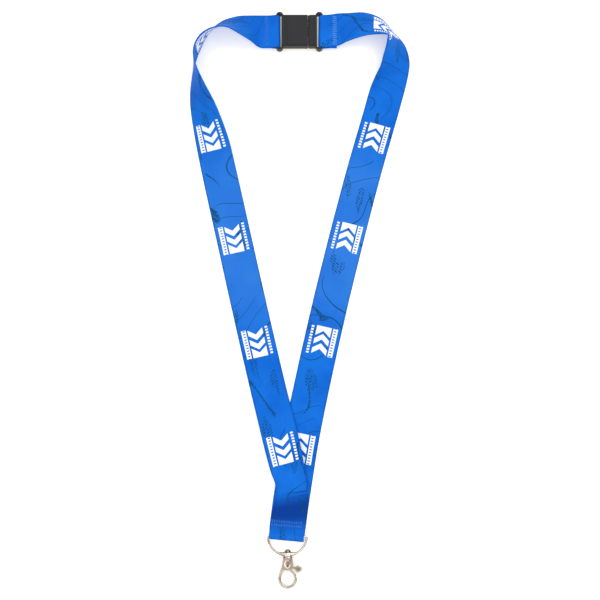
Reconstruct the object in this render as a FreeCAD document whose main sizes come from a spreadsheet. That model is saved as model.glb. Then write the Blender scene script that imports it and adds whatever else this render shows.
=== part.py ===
# Neck lanyard: printed ribbon loop, breakaway buckle, D-ring and swivel trigger hook, lying flat.
# Millimetres. +X to the wearer's left, +Y from the hook to the buckle, +Z up from the table.
# The origin is the centre of the footprint, at table height.
import FreeCAD, Part
import math
import os
import Sketcher

V = FreeCAD.Vector
doc = FreeCAD.newDocument("lanyard")

# ---------------------------------------------------------------- driving dimensions
DIMENSIONS = [
    ("ribbon_width", 25.0),         # woven ribbon
    ("ribbon_thick", 0.9),
    ("fold_width", 24.2),           # the ribbon narrows where it is pulled into the ring
    ("cut_gap", 0.3),               # where the right arm parts from its corner
    ("buckle_x", -0.4),             # centre of the closed buckle
    ("buckle_y", 191.5),
    ("buckle_thick", 7.4),
    ("shell_half", 12.2),           # half of the housing's width, along Y
    ("shell_edge", 1.6),            # rounding of the housing's long edges
    ("female_back", -13.2),         # places along X from the buckle's centre
    ("female_mouth", 6.1),
    ("flange_front", 7.2),
    ("flange_back", 12.9),
    ("bar_place", 16.1),            # strap bars, both halves
    ("bar_radius", 0.95),
    ("lug_place", 14.55),           # rounded cheeks that carry the strap bars
    ("lug_radius", 2.6),
    ("lug_side", 12.0),
    ("lug_thick", 4.6),
    ("slot_half", 12.65),
    ("slot_reach", 18.0),
    ("groove_deep", 0.35),          # grip lines moulded across both halves
    ("groove_wide", 0.5),
    ("male_groove", 10.7),
    ("female_groove", -11.0),
    ("female_step", -9.3),
    ("socket_back", -11.6),
    ("socket_half_high", 2.4),
    ("socket_half_deep", 11.0),
    ("socket_half_mouth", 9.8),
    ("arm_pivot", 5.4),
    ("arm_side", 8.65),
    ("arm_tip", -8.4),
    ("arm_half_high", 1.9),
    ("arm_root_radius", 0.75),
    ("neck_front", 6.2),            # the flange's collar, just outside the housing's mouth
    ("neck_side", 11.5),
    ("neck_half_high", 3.0),
    ("neck_bite", 0.5),             # how far a piece runs into the one that carries it
    ("tongue_tip", -6.0),
    ("tongue_half", 3.2),
    ("tongue_shoulder", -3.5),
    ("tongue_tip_half", 1.8),
    ("tongue_half_high", 1.9),
    ("mouth_draft", 0.07),
    ("ring_x", -8.9),               # middle of the ring's straight bar
    ("ring_y", -172.9),
    ("ring_z", 2.1),
    ("ring_radius", 13.6),          # wire centre line
    ("ring_depth", 12.8),
    ("ring_corner", 1.5),
    ("ring_wire", 0.9),
    ("fold_gap", 0.3),
    ("bar_fold_gap", 0.05),
    ("fold_reach", 4.0),            # more than the radius of any fold
    ("hook_x", -8.4),               # axis of the swivel
    ("boss_radius", 2.7),
    ("boss_front", -183.6),
    ("boss_back", -186.5),
    ("boss_half_high", 2.1),
    ("rivet_radius", 1.1),
    ("rivet_end", -190.2),
    ("rivet_seat", -183.4),
    ("rivet_head_radius", 1.9),
    ("rivet_crown_radius", 0.8),
    ("rivet_flange_thick", 0.5),
    ("rivet_crown_high", 1.2),
    ("rivet_clearance", 0.05),
    ("body_front", -186.75),
    ("body_back", -195.4),
    ("body_thick", 4.2),
    ("cheek_thick", 1.0),
    ("eye_y", -201.5),
    ("eye_outer", 6.25),
    ("eye_inner", 4.7),
    ("claw_thick", 3.2),
    ("pin_x", -8.4),
    ("pin_y", -193.0),
    ("pin_radius", 0.75),
    ("pad_x", -1.0),
    ("pad_y", -194.8),
    ("pad_radius", 2.35),
    ("pad_thick", 1.4),
    ("pad_lift", -0.1),             # above the middle of the hook's thickness
    ("thumb_half_high", 0.7),
    ("gate_thick", 1.8),
    ("gate_outer_radius", 6.15),
    ("hub_radius", 1.9),
    ("gate_clearance", 0.05),
    ("spring_room_radius", 1.75),
    ("spring_room_deep", 1.1),
    ("coil_outer_radius", 1.45),
    ("coil_inner_radius", 1.05),
    ("coil_lift", 0.05),
    ("coil_thick", 0.8),
    ("overrun", 1.0),               # how far a cutting shape runs past the face that it cuts
]
sheet = doc.addObject("Spreadsheet::Sheet", "sizes")
SIZE = {}
for row, (alias, value) in enumerate(DIMENSIONS, start=1):
    sheet.set("A%d" % row, alias)
    sheet.set("B%d" % row, str(value))
    sheet.setAlias("B%d" % row, alias)
    SIZE[alias] = value
doc.recompute()

WIDTH = SIZE["ribbon_width"]
THICK = SIZE["ribbon_thick"]


def sized(expression):
    """Put the sheet's name before every alias in an expression."""
    words = []
    for word in expression.replace("(", "( ").replace(")", " )").split():
        words.append("sizes." + word if word in SIZE else word)
    return " ".join(words)


# ---------------------------------------------------------------- small builders
def box(name, x_low, x_high, y_low, y_high, z_low, z_high):
    """A block between two corners; every value is an expression on the sheet."""
    block = doc.addObject("Part::Box", name)
    for place, low, high, size in (("x", x_low, x_high, "Length"), ("y", y_low, y_high, "Width"),
                                   ("z", z_low, z_high, "Height")):
        block.setExpression("Placement.Base." + place, sized(low))
        block.setExpression(size, sized("( %s ) - ( %s )" % (high, low)))
    return block


def cylinder(name, radius, length, x, y, z, along="z"):
    """A round bar that starts at x, y, z and runs along an axis."""
    turn = {"x": FreeCAD.Rotation(V(0, 1, 0), 90), "y": FreeCAD.Rotation(V(1, 0, 0), -90),
            "z": FreeCAD.Rotation()}[along]
    bar = doc.addObject("Part::Cylinder", name)
    bar.Placement = FreeCAD.Placement(V(0, 0, 0), turn)
    bar.setExpression("Radius", sized(radius))
    bar.setExpression("Height", sized(length))
    for place, value in (("x", x), ("y", y), ("z", z)):
        bar.setExpression("Placement.Base." + place, sized(value))
    return bar


def plate(name, corners, z_low, z_high):
    """A PartDesign body: a flat polygon in the XY plane, padded from z_low to z_high."""
    body = doc.addObject("PartDesign::Body", name)
    sketch = body.newObject("Sketcher::SketchObject", name + "_outline")
    plane = [feature for feature in body.Origin.OriginFeatures if feature.Role == "XY_Plane"][0]
    sketch.AttachmentSupport = [(plane, "")]
    sketch.MapMode = "FlatFace"
    sketch.setExpression("AttachmentOffset.Base.z", sized(z_low))
    spots = [(sheet_value(x), sheet_value(y)) for x, y in corners]
    for index, spot in enumerate(spots):
        following = spots[(index + 1) % len(spots)]
        sketch.addGeometry(Part.LineSegment(V(spot[0], spot[1], 0), V(following[0], following[1], 0)))
    for index in range(len(spots)):
        after = (index + 1) % len(spots)
        sketch.addConstraint(Sketcher.Constraint("Coincident", index, 2, after, 1))
    for index, (x, y) in enumerate(corners):
        across = sketch.addConstraint(Sketcher.Constraint("DistanceX", -1, 1, index, 1, spots[index][0]))
        upward = sketch.addConstraint(Sketcher.Constraint("DistanceY", -1, 1, index, 1, spots[index][1]))
        sketch.setExpression("Constraints[%d]" % across, sized(x))
        sketch.setExpression("Constraints[%d]" % upward, sized(y))
    pad = body.newObject("PartDesign::Pad", name + "_pad")
    pad.Profile = sketch
    pad.setExpression("Length", sized("( %s ) - ( %s )" % (z_high, z_low)))
    return body


def sheet_value(expression):
    """The number that a sheet expression stands for, for a sketch's first guess."""
    total = 0.0
    sign = 1.0
    for word in expression.split():
        if word in ("+", "-"):
            sign = 1.0 if word == "+" else -1.0
            continue
        total += sign * (SIZE[word] if word in SIZE else float(word))
        sign = 1.0
    return total


def fuse(name, pieces):
    joined = doc.addObject("Part::MultiFuse", name)
    joined.Shapes = pieces
    joined.Refine = True
    return joined


def cut(name, base, tool):
    result = doc.addObject("Part::Cut", name)
    result.Base = base
    result.Tool = tool
    result.Refine = True
    return result


def rounded(name, base, radius, wanted):
    """Round the edges that the test function picks."""
    doc.recompute()
    result = doc.addObject("Part::Fillet", name)
    result.Base = base
    chosen = [index for index, edge in enumerate(base.Shape.Edges, start=1) if wanted(edge)]
    result.Edges = [(index, radius, radius) for index in chosen]
    return result


def made(name, shape):
    """A piece whose shape is worked out here, from the sheet's values."""
    feature = doc.addObject("Part::Feature", name)
    feature.Shape = shape
    return feature


# ---------------------------------------------------------------- ribbon
# A station is the outer edge of the ribbon: x, y, height above the table, and the roll of the
# ribbon about that edge. At roll 0 the ribbon lies flat, at 90 it stands on its outer edge.
# A fifth value is the heading of the ribbon's width from that edge, where it isn't square to the
# route, as in the corners, where the ribbon stands up and twists.
LEFT_ROUTE = [
    (-16.5, 204, 4.7, 0), (-17.6, 204, 4.7, 0), (-20, 204, 4.2, 0), (-22, 204, 3.6, 0),
    (-28.2, 204, 3.5, 0), (-37, 204.6, 2.0, 22, -88), (-45, 205, 0.3, 35, -84),
    (-51.1, 203.7, 0, 45, -78), (-56.2, 202, 0, 53, -71), (-62.9, 197.2, 0, 64, -56),
    (-68.4, 190, 0, 77, -42), (-72.7, 181, 0, 88), (-76.3, 171, 0, 90), (-78.8, 160, 0, 80),
    (-80.2, 148, 0, 64), (-80.2, 138, 0, 51), (-79, 127, 0, 39), (-75, 104, 0, 16),
    (-70, 80, 0, 5), (-60, 36, 0, 0), (-50, -8, 0, 0), (-40, -51, 0, 0), (-34, -76, 0.2, 0),
    (-29.8, -93.5, 1.2, 0), (-25, -114, 1.2, 0)]
LEFT_CORNER_STATIONS = 18
RIGHT_ROUTE = [
    (15.7, 204, 4.7, 0, -90), (16.8, 204, 4.7, 0, -90), (19, 204.2, 4.2, 0, -90),
    (21.5, 204.6, 3.6, 0, -90), (28, 205.6, 3.5, 0, -90), (35.2, 206.4, 2.3, 14, -91),
    (48.1, 207.6, 0.3, 27, -90), (59.4, 203.6, 0, 40, -96), (65.5, 197.4, 0, 53, -105),
    (69.8, 191.8, 0, 61, -123), (73.9, 187.1, 0, 56, -142), (77.1, 182.5, 0, 46, -151),
    (79.7, 175.1, 0, 35, -162), (80.5, 167.5, 0, 26, -168), (79.4, 159, 0, 16, -176),
    (76.9, 148.1, 0, 6, 174), (74.3, 138.5, 0, 1), (70.6, 125.3, 0, 0), (64, 102.6, 0, 0),
    (57.6, 80, 0, 0), (46, 36, 0, 0), (35, -8, 0, 0), (25.1, -51, 0, 0), (16, -93.5, 0, 0),
    (12.1, -114, 0, 0)]
# The lower strap: left edge and right edge of the ribbon, each x, y, height.
FRONT_ROUTE = [
    ((-25.0, -114.0, 1.2), (-0.7, -108.3, 1.2)), ((-20.5, -130.0, 1.4), (4.0, -125.0, 1.4)),
    ((-17.2, -139.5, 1.2), (6.7, -137.5, 1.2)), ((-18.2, -147.5, 1.0), (6.8, -149.5, 1.0)),
    ((-20.0, -156.5, 1.0), (4.8, -159.0, 1.0)), ((-20.9, -165.5, 1.0), (3.7, -167.4, 1.0)),
    ((-21.0, -168.9, 2.2), (3.2, -169.9, 2.2)), ((-21.0, -171.6, 3.3), (3.2, -171.6, 3.3)),
    ((-21.0, -172.9, 3.3), (3.2, -172.9, 3.3))]
BACK_ROUTE = [
    ((-12.5, -109.3, 0.0), (12.1, -114.0, 0.0)), ((-16.0, -131.4, 0.0), (8.7, -135.0, 0.0)),
    ((-18.9, -149.6, 0.0), (6.0, -152.2, 0.0)), ((-20.7, -164.6, 0.0), (4.1, -166.0, 0.0)),
    ((-21.0, -171.5, 0.0), (3.2, -171.5, 0.0)), ((-21.0, -172.9, 0.0), (3.2, -172.9, 0.0))]


def rolled(route, side):
    """Turn outer-edge stations into pairs of edge points; side is +1 where the loop is to the left."""
    pairs = []
    for index, (x, y, height, roll, *heading) in enumerate(route):
        if heading:
            turn = math.radians(heading[0])
            inward = V(math.cos(turn), math.sin(turn), 0)
        else:
            before = route[max(index - 1, 0)]
            after = route[min(index + 1, len(route) - 1)]
            ahead = V(after[0] - before[0], after[1] - before[1], 0).normalize()
            inward = V(-ahead.y * side, ahead.x * side, 0)
        angle = math.radians(roll)
        base = V(x, y, height + THICK / 2 * math.cos(angle))
        span = inward * math.cos(angle) + V(0, 0, 1) * math.sin(angle)
        pairs.append((base, base + span * WIDTH))
    return pairs


def laid(route):
    """Edge pairs of a strip that lies flat: lift each point to the middle of the ribbon."""
    middle = V(0, 0, THICK / 2)
    return [(V(*left) + middle, V(*right) + middle) for left, right in route]


LAYER_GAP = 0.05                    # between two layers of ribbon
SQUARE = -90                        # heading of the ribbon's width where it is square to the buckle


def strip(pairs):
    """A thin closed solid between pairs of edge points, of the ribbon's thickness."""
    sections = []
    for index, (first, second) in enumerate(pairs):
        before = pairs[max(index - 1, 0)]
        after = pairs[min(index + 1, len(pairs) - 1)]
        ahead = (after[0] + after[1]) - (before[0] + before[1])
        face = (second - first).cross(ahead).normalize() * (THICK / 2)
        sections.append([first - face, second - face, second + face, first + face])
    faces = [Part.Face(Part.makePolygon(end + end[:1])) for end in (sections[0], sections[-1])]
    for here, there in zip(sections, sections[1:]):
        for index in range(4):
            after = (index + 1) % 4
            edges = [Part.LineSegment(ring[index], ring[after]).toShape() for ring in (here, there)]
            faces.append(Part.makeRuledSurface(edges[0], edges[1]))
    shell = Part.makeShell(faces)
    shell.sewShape()
    solid = Part.makeSolid(shell)
    if solid.Volume < 0:
        solid.reverse()
    return solid


def tail(route, side, end_x):
    """The ribbon's cut end, folded back under the first stations of its route."""
    below_bar = SIZE["buckle_thick"] - route[0][2] - THICK
    stations = [(x, y, below_bar, 0, SQUARE) for x, y, *_ in route[:2]]
    for x, y, height in (route[3][:3], (end_x, *route[4][1:3])):
        stations.append((x, y, height - THICK - LAYER_GAP, 0, SQUARE))
    return strip(rolled(stations, side))


def bar_fold(name, bar_x, y_middle, width, height, inner, opening):
    """Half a tube of ribbon round a strap bar along Y; opening is the half that stays empty."""
    outer = cylinder(name + "_outer", "%s + ribbon_thick" % inner, width, bar_x, y_middle, height, "y")
    hollow = cylinder(name + "_hollow", inner, width, bar_x, y_middle, height, "y")
    tube = cut(name + "_tube", outer, hollow)
    low, high = ("- fold_reach", "+ 0") if opening == "left" else ("+ 0", "+ fold_reach")
    side = box(name + "_side", "%s %s" % (bar_x, low), "%s %s" % (bar_x, high), y_middle,
               "%s + %s" % (y_middle, width), height + " - fold_reach", height + " + fold_reach")
    return cut(name, tube, side)


left_pairs = rolled(LEFT_ROUTE, 1)
right_pairs = rolled(RIGHT_ROUTE, -1)
made("ribbon_left_corner", strip(left_pairs[:LEFT_CORNER_STATIONS]))
made("ribbon_left_arm", strip(left_pairs[LEFT_CORNER_STATIONS - 1:]))
made("ribbon_front_layer", strip(laid(FRONT_ROUTE)))
made("ribbon_back_layer", strip(laid(BACK_ROUTE)))

# The right arm may part from the root where the buckle's halves draw apart: a narrow gap.
PARTING_STATION = 18
PARTING_SHARE = 0.3
above = right_pairs[PARTING_STATION]
below = right_pairs[PARTING_STATION + 1]
run_length = (above[0] - below[0]).Length
half_gap = SIZE["cut_gap"] / 2 / run_length
upper_end = [top + (low - top) * (PARTING_SHARE - half_gap) for top, low in zip(above, below)]
lower_end = [top + (low - top) * (PARTING_SHARE + half_gap) for top, low in zip(above, below)]
made("ribbon_right_corner", strip(right_pairs[:PARTING_STATION + 1] + [upper_end]))
made("ribbon_right_arm", strip([lower_end] + right_pairs[PARTING_STATION + 1:]))

LEFT_TAIL_END = -28.0
RIGHT_TAIL_END = 27.6
made("ribbon_left_tail", tail(LEFT_ROUTE, 1, LEFT_TAIL_END))
made("ribbon_right_tail", tail(RIGHT_ROUTE, -1, RIGHT_TAIL_END))

for name, place, empty in (("ribbon_left_fold", "buckle_x - bar_place", "left"),
                           ("ribbon_right_fold", "buckle_x + bar_place", "right")):
    bar_fold(name, place, "buckle_y - ribbon_width / 2", "ribbon_width", "buckle_thick / 2",
             "bar_radius + bar_fold_gap", empty)

ring_fold_outer = cylinder("ring_fold_outer", "ring_wire + fold_gap + ribbon_thick", "fold_width",
                           "ring_x - fold_width / 2", "ring_y", "ring_z", "x")
ring_fold_hollow = cylinder("ring_fold_hollow", "ring_wire + fold_gap", "fold_width",
                            "ring_x - fold_width / 2", "ring_y", "ring_z", "x")
ring_fold_tube = cut("ring_fold_tube", ring_fold_outer, ring_fold_hollow)
ring_fold_side = box("ring_fold_side", "ring_x - fold_width / 2", "ring_x + fold_width / 2",
                     "ring_y", "ring_y + fold_reach", "ring_z - fold_reach", "ring_z + fold_reach")
cut("ribbon_ring_fold", ring_fold_tube, ring_fold_side)


# ---------------------------------------------------------------- seams
THREAD_WIDE = 0.35
THREAD_HIGH = 0.25


def zigzag(start, along, across, turns):
    """A flat zigzag thread: turns back and forth across a seam, lying on top of the ribbon."""
    points = []
    for index in range(turns * 2 + 1):
        share = index / (turns * 2)
        side = across if index % 2 else V(0, 0, 0)
        points.append(start + along * share + side)
    half = V(across.x, across.y, 0).normalize() * THREAD_WIDE
    outline = [point - half for point in points] + [point + half for point in reversed(points)]
    face = Part.Face(Part.makePolygon(outline + outline[:1]))
    return face.extrude(V(0, 0, THREAD_HIGH))


SEAM_INSET = 0.9
SEAM_LIFT = 0.1
SEAM_WIDE = 2.6                     # how far a zigzag swings
STITCHES = 14
run = V(0, -(WIDTH - 2 * SEAM_INSET), 0)
for name, route, sign, x in (("seam_left", LEFT_ROUTE, -1, -23.6), ("seam_right", RIGHT_ROUTE, 1, 24.2)):
    start = V(x, route[3][1] - SEAM_INSET, route[3][2] + THICK + SEAM_LIFT)
    made(name, zigzag(start, run, V(sign * SEAM_WIDE, 0, 0), STITCHES))

RING_SEAM_RUN = V(23.2, -2.0, 0)
RING_SEAM_SWING = V(-0.15, -1.5, 0)
RING_SEAM_LIFT = 0.02
ring_seam_height = FRONT_ROUTE[4][0][2] + THICK + RING_SEAM_LIFT
for name, x, y in (("seam_ring_upper", -19.9, -160.6), ("seam_ring_lower", -20.1, -163.0)):
    made(name, zigzag(V(x, y, ring_seam_height), RING_SEAM_RUN, RING_SEAM_SWING, STITCHES))

# ---------------------------------------------------------------- buckle, female half
def strap_end(name, side, block, inner):
    """Round cheeks with a strap bar between them, joined to a housing block; side is - or +."""
    pieces = [block]
    for tag, sign in (("upper", "+"), ("lower", "-")):
        pieces.append(cylinder("%s_lug_%s" % (name, tag), "lug_radius", "lug_thick",
                               "buckle_x %s lug_place" % side, "buckle_y %s lug_side" % sign,
                               "buckle_thick / 2 - lug_thick / 2"))
    whole = fuse(name + "_with_lugs", pieces)
    reach = "buckle_x %s slot_reach" % side
    window_ends = (inner, reach) if side == "+" else (reach, inner)
    window = box(name + "_window", window_ends[0], window_ends[1], "buckle_y - slot_half",
                 "buckle_y + slot_half", "0 - overrun", "buckle_thick + overrun")
    opened = cut(name + "_opened", whole, window)
    bar = cylinder(name + "_bar", "bar_radius", "( slot_half + neck_bite ) * 2",
                   "buckle_x %s bar_place" % side, "buckle_y - slot_half - neck_bite",
                   "buckle_thick / 2", "y")
    return fuse(name + "_framed", [opened, bar])


def long_edge(edge):
    """Edges of a block that run along X at its top or bottom."""
    ends = [vertex.Point for vertex in edge.Vertexes]
    return len(ends) == 2 and abs(ends[0].y - ends[1].y) < 0.01 and abs(ends[0].z - ends[1].z) < 0.01


shell_block = box("female_block", "buckle_x + female_back", "buckle_x + female_mouth",
                  "buckle_y - shell_half", "buckle_y + shell_half", "0", "buckle_thick")
shell_rounded = rounded("female_rounded", shell_block, SIZE["shell_edge"], long_edge)
female_framed = strap_end("female", "-", shell_rounded, "buckle_x + female_back")
socket = plate("female_socket",
               [("buckle_x + socket_back", "buckle_y - socket_half_deep"),
                ("buckle_x + female_mouth + overrun", "buckle_y - socket_half_mouth + mouth_draft"),
                ("buckle_x + female_mouth + overrun", "buckle_y + socket_half_mouth - mouth_draft"),
                ("buckle_x + socket_back", "buckle_y + socket_half_deep")],
               "buckle_thick / 2 - socket_half_high", "buckle_thick / 2 + socket_half_high")


def grip_line(name, place):
    """A groove straight across a buckle half, on its top and on its bottom."""
    sides = (("top", "buckle_thick - groove_deep", "buckle_thick + overrun"),
             ("bottom", "0 - overrun", "groove_deep"))
    return [box("%s_%s" % (name, side), "buckle_x + " + place, "buckle_x + %s + groove_wide" % place,
                "buckle_y - shell_half - overrun", "buckle_y + shell_half + overrun", low, high)
            for side, low, high in sides]


female_grooves = fuse("female_grooves", grip_line("female_line", "female_groove")
                      + grip_line("female_second_line", "female_step"))
cut("female_housing", cut("female_grooved", female_framed, female_grooves), socket)

# ---------------------------------------------------------------- buckle, male half
flange_block = box("male_block", "buckle_x + flange_front", "buckle_x + flange_back",
                   "buckle_y - shell_half", "buckle_y + shell_half", "0", "buckle_thick")
flange_rounded = rounded("male_rounded", flange_block, SIZE["shell_edge"], long_edge)
male_framed = strap_end("male", "+", flange_rounded, "buckle_x + flange_back")
neck = box("male_neck", "buckle_x + neck_front", "buckle_x + flange_front + neck_bite",
           "buckle_y - neck_side", "buckle_y + neck_side",
           "buckle_thick / 2 - neck_half_high", "buckle_thick / 2 + neck_half_high")
tongue = plate("male_tongue",
               [("buckle_x + tongue_tip", "buckle_y - tongue_tip_half"),
                ("buckle_x + tongue_shoulder", "buckle_y - tongue_half"),
                ("buckle_x + flange_front", "buckle_y - tongue_half"),
                ("buckle_x + flange_front", "buckle_y + tongue_half"),
                ("buckle_x + tongue_shoulder", "buckle_y + tongue_half"),
                ("buckle_x + tongue_tip", "buckle_y + tongue_tip_half")],
               "buckle_thick / 2 - tongue_half_high", "buckle_thick / 2 + tongue_half_high")
male_whole = fuse("male_whole", [male_framed, neck, tongue])
cut("male_base", male_whole, fuse("male_grooves", grip_line("male_line", "male_groove")))


# A sprung arm's outline: place along X, and distance from the buckle's centre line. It swells into
# the bead that grips the socket's walls.
ARM_OUTLINE = [("arm_pivot", 8.0), ("arm_pivot", 9.3), ("-4.4", 10.0), ("-5.6", 10.45),
               ("-7.4", 10.55), ("arm_tip", 9.9), ("arm_tip", 8.6), ("-5.0", 8.3)]


def latch_arm(name, sign):
    """A sprung arm: round root at its pivot, slim beam, and a bead near the tip that grips."""
    low = "buckle_thick / 2 - arm_half_high"
    corners = [("buckle_x + " + x, "buckle_y %s %s" % (sign, side)) for x, side in ARM_OUTLINE]
    beam = plate(name + "_beam", corners, low, "buckle_thick / 2 + arm_half_high")
    root = cylinder(name + "_root", "arm_root_radius", "arm_half_high * 2", "buckle_x + arm_pivot",
                    "buckle_y %s arm_side" % sign, low)
    fuse(name, [beam, root])


latch_arm("latch_arm_upper", "+")
latch_arm("latch_arm_lower", "-")


# ---------------------------------------------------------------- D-ring
def ring_wire_shape():
    """A half-round wire loop closed by a straight bar, its corners bent round."""
    radius = SIZE["ring_radius"]
    centre_y = SIZE["ring_y"] - SIZE["ring_depth"] + radius
    corner = SIZE["ring_corner"]
    z = SIZE["ring_z"]
    # Centre of a corner arc: a corner radius below the bar, and inside the big arc by as much.
    drop = centre_y - (SIZE["ring_y"] - corner)
    reach = math.sqrt((radius - corner) ** 2 - drop ** 2)
    angle = math.atan2(drop, reach)
    x = SIZE["ring_x"]
    centre = V(x, centre_y, z)
    points = {}
    for tag, sign in (("left", -1), ("right", 1)):
        bend = V(x + sign * reach, SIZE["ring_y"] - corner, z)
        out = V(sign * math.cos(angle), -math.sin(angle), 0)
        points[tag] = {"top": bend + V(0, corner, 0), "low": centre + out * radius,
                       "mid": bend + V(sign * math.sin(math.pi / 4), math.sin(math.pi / 4), 0) * corner}
    left = points["left"]
    right = points["right"]
    edges = [Part.LineSegment(left["top"], right["top"]).toShape(),
             Part.Arc(right["top"], right["mid"], right["low"]).toShape(),
             Part.Arc(right["low"], centre - V(0, radius, 0), left["low"]).toShape(),
             Part.Arc(left["low"], left["mid"], left["top"]).toShape()]
    path = Part.Wire(edges)
    section = Part.Wire(Part.makeCircle(SIZE["ring_wire"], V(x, SIZE["ring_y"], z), V(1, 0, 0)))
    return path, section


path, section = ring_wire_shape()
start = path.Edges[0].Vertexes[0].Point
section.translate(V(start.x - SIZE["ring_x"], 0, 0))
ring_wire = made("ring_wire", path.makePipeShell([section], True, False))
boss = cylinder("ring_boss", "boss_radius", "boss_front - boss_back", "hook_x", "boss_back", "ring_z", "y")
boss_flat = box("boss_flat", "hook_x - boss_radius - overrun", "hook_x + boss_radius + overrun",
                "boss_back", "boss_front", "ring_z - boss_half_high", "ring_z + boss_half_high")
boss_trimmed = doc.addObject("Part::Common", "boss_trimmed")
boss_trimmed.Base = boss
boss_trimmed.Tool = boss_flat
ring_bore = cylinder("ring_bore", "rivet_radius + rivet_clearance",
                     "boss_front - boss_back + overrun * 2", "hook_x", "boss_back - overrun", "ring_z", "y")
cut("d_ring", fuse("ring_whole", [ring_wire, boss_trimmed]), ring_bore)

# ---------------------------------------------------------------- trigger hook
rivet_shaft = cylinder("rivet_shaft", "rivet_radius", "rivet_seat - rivet_end", "hook_x", "rivet_end",
                       "ring_z", "y")
rivet_flange = cylinder("rivet_flange", "rivet_head_radius", "rivet_flange_thick",
                        "hook_x", "rivet_seat", "ring_z", "y")
rivet_crown = doc.addObject("Part::Cone", "rivet_crown")
rivet_crown.Placement = rivet_shaft.Placement
rivet_crown.setExpression("Radius1", sized("rivet_head_radius"))
rivet_crown.setExpression("Radius2", sized("rivet_crown_radius"))
rivet_crown.setExpression("Height", sized("rivet_crown_high"))
for place, value in (("x", "hook_x"), ("y", "rivet_seat + rivet_flange_thick"), ("z", "ring_z")):
    rivet_crown.setExpression("Placement.Base." + place, sized(value))
fuse("swivel_rivet", [rivet_shaft, rivet_flange, rivet_crown])

GATE_LOW = "ring_z - gate_thick / 2"
GATE_HIGH = "ring_z + gate_thick / 2"
THROUGH_LOW = "0 - overrun"         # below and above the whole hook
THROUGH_HIGH = "body_thick + overrun"
shank = plate("hook_shank",
              [("hook_x - 3.0", "body_front"), ("hook_x - 3.4", "body_front - 4"),
               ("hook_x - 4.3", "body_back"), ("hook_x - 5.6", "eye_y + 2.6"),
               ("hook_x - 3.6", "eye_y + 3.0"), ("hook_x - 2.6", "body_back - 0.3"),
               ("hook_x + 0.6", "body_back"), ("hook_x + 3.4", "body_back + 1.6"),
               ("hook_x + 4.0", "body_back + 3.4"), ("hook_x + 3.0", "body_front - 2"),
               ("hook_x + 3.0", "body_front")],
              "0", "body_thick")
SHANK_ROUNDING = 0.7
FLAT = 0.01                         # an edge no higher than this lies level
SHANK_END = SIZE["body_back"] - 0.5
shank_round = rounded("shank_round", shank, SHANK_ROUNDING,
                      lambda edge: edge.BoundBox.ZLength < FLAT and edge.BoundBox.YMax > SHANK_END)
claw_outer = cylinder("claw_outer", "eye_outer", "claw_thick", "hook_x", "eye_y", "ring_z - claw_thick / 2")
claw_inner = cylinder("claw_inner", "eye_inner", "claw_thick + overrun * 2", "hook_x", "eye_y",
                      "ring_z - claw_thick / 2 - overrun")
claw_band = cut("claw_band", claw_outer, claw_inner)
gate_gap = plate("gate_gap",
                 [("hook_x", "eye_y"), ("hook_x + 9", "eye_y + 1.6"), ("hook_x + 9", "eye_y + 9"),
                  ("hook_x - 2.6", "eye_y + 9"), ("hook_x - 3.4", "eye_y + 3")],
                 THROUGH_LOW, THROUGH_HIGH)
claw = cut("claw", claw_band, gate_gap)
hook_joined = fuse("hook_joined", [shank_round, claw])
slot = plate("hook_slot",
             [("hook_x - 2.2", "body_front - 4"), ("hook_x + 9", "body_front - 4"),
              ("hook_x + 9", "eye_y + 1.2"), ("hook_x - 2.2", "eye_y + 1.2")],
             "cheek_thick", "body_thick - cheek_thick")
hook_slotted = cut("hook_slotted", hook_joined, slot)
stem_hole = cylinder("stem_hole", "rivet_radius", "rivet_seat - rivet_end", "hook_x", "rivet_end",
                     "ring_z", "y")
pin_hole = cylinder("pin_hole", "pin_radius", "body_thick + overrun * 2", "pin_x", "pin_y", "0 - overrun")
cut("hook_body", hook_slotted, fuse("hook_holes", [stem_hole, pin_hole]))
cylinder("gate_pin", "pin_radius", "body_thick", "pin_x", "pin_y", "0")

# Gate lever: a curved bar that closes the eye, a hub on the pin, and a thumb pad on an arm.
gate_outer = cylinder("gate_outer", "gate_outer_radius", "gate_thick", "hook_x", "eye_y", GATE_LOW)
gate_inner = cylinder("gate_inner", "eye_inner", "gate_thick + overrun * 2", "hook_x", "eye_y",
                      GATE_LOW + " - overrun")
gate_ring = cut("gate_ring", gate_outer, gate_inner)
gate_reach = plate("gate_reach",
                   [("hook_x + 0.6", "eye_y + 3.5"), ("hook_x + 2.5", "eye_y + 1.85"),
                    ("hook_x + 9", "eye_y + 1.85"), ("hook_x + 9", "eye_y + 8"),
                    ("hook_x + 0.6", "eye_y + 8")],
                   THROUGH_LOW, THROUGH_HIGH)
gate_bow = doc.addObject("Part::Common", "gate_bow")
gate_bow.Base = gate_ring
gate_bow.Tool = gate_reach
hub = cylinder("gate_hub", "hub_radius", "gate_thick", "pin_x", "pin_y", GATE_LOW)
web = plate("gate_web",
            [("pin_x - 0.6", "pin_y - 1.5"), ("pin_x + 1.2", "eye_y + 4.9"), ("pin_x + 3.4", "eye_y + 4.6"),
             ("pin_x + 1.8", "pin_y - 0.4")],
            GATE_LOW, GATE_HIGH)
thumb_arm = plate("gate_thumb_arm",
                  [("pin_x + 0.5", "pin_y - 1.2"), ("pad_x - 0.8", "pad_y - 0.9"),
                   ("pad_x - 0.4", "pad_y + 0.9"), ("pin_x + 1.0", "pin_y + 1.2")],
                  "ring_z - thumb_half_high", "ring_z + thumb_half_high")
thumb_pad = cylinder("gate_thumb_pad", "pad_radius", "pad_thick", "pad_x", "pad_y", "ring_z + pad_lift")
gate_whole = fuse("gate_whole", [gate_bow, hub, web, thumb_arm, thumb_pad])
gate_bore = cylinder("gate_bore", "pin_radius + gate_clearance", "gate_thick + overrun * 2",
                     "pin_x", "pin_y", GATE_LOW + " - overrun")
spring_room = cylinder("spring_room", "spring_room_radius", "spring_room_deep", "pin_x", "pin_y",
                       "ring_z - gate_clearance")
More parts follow.
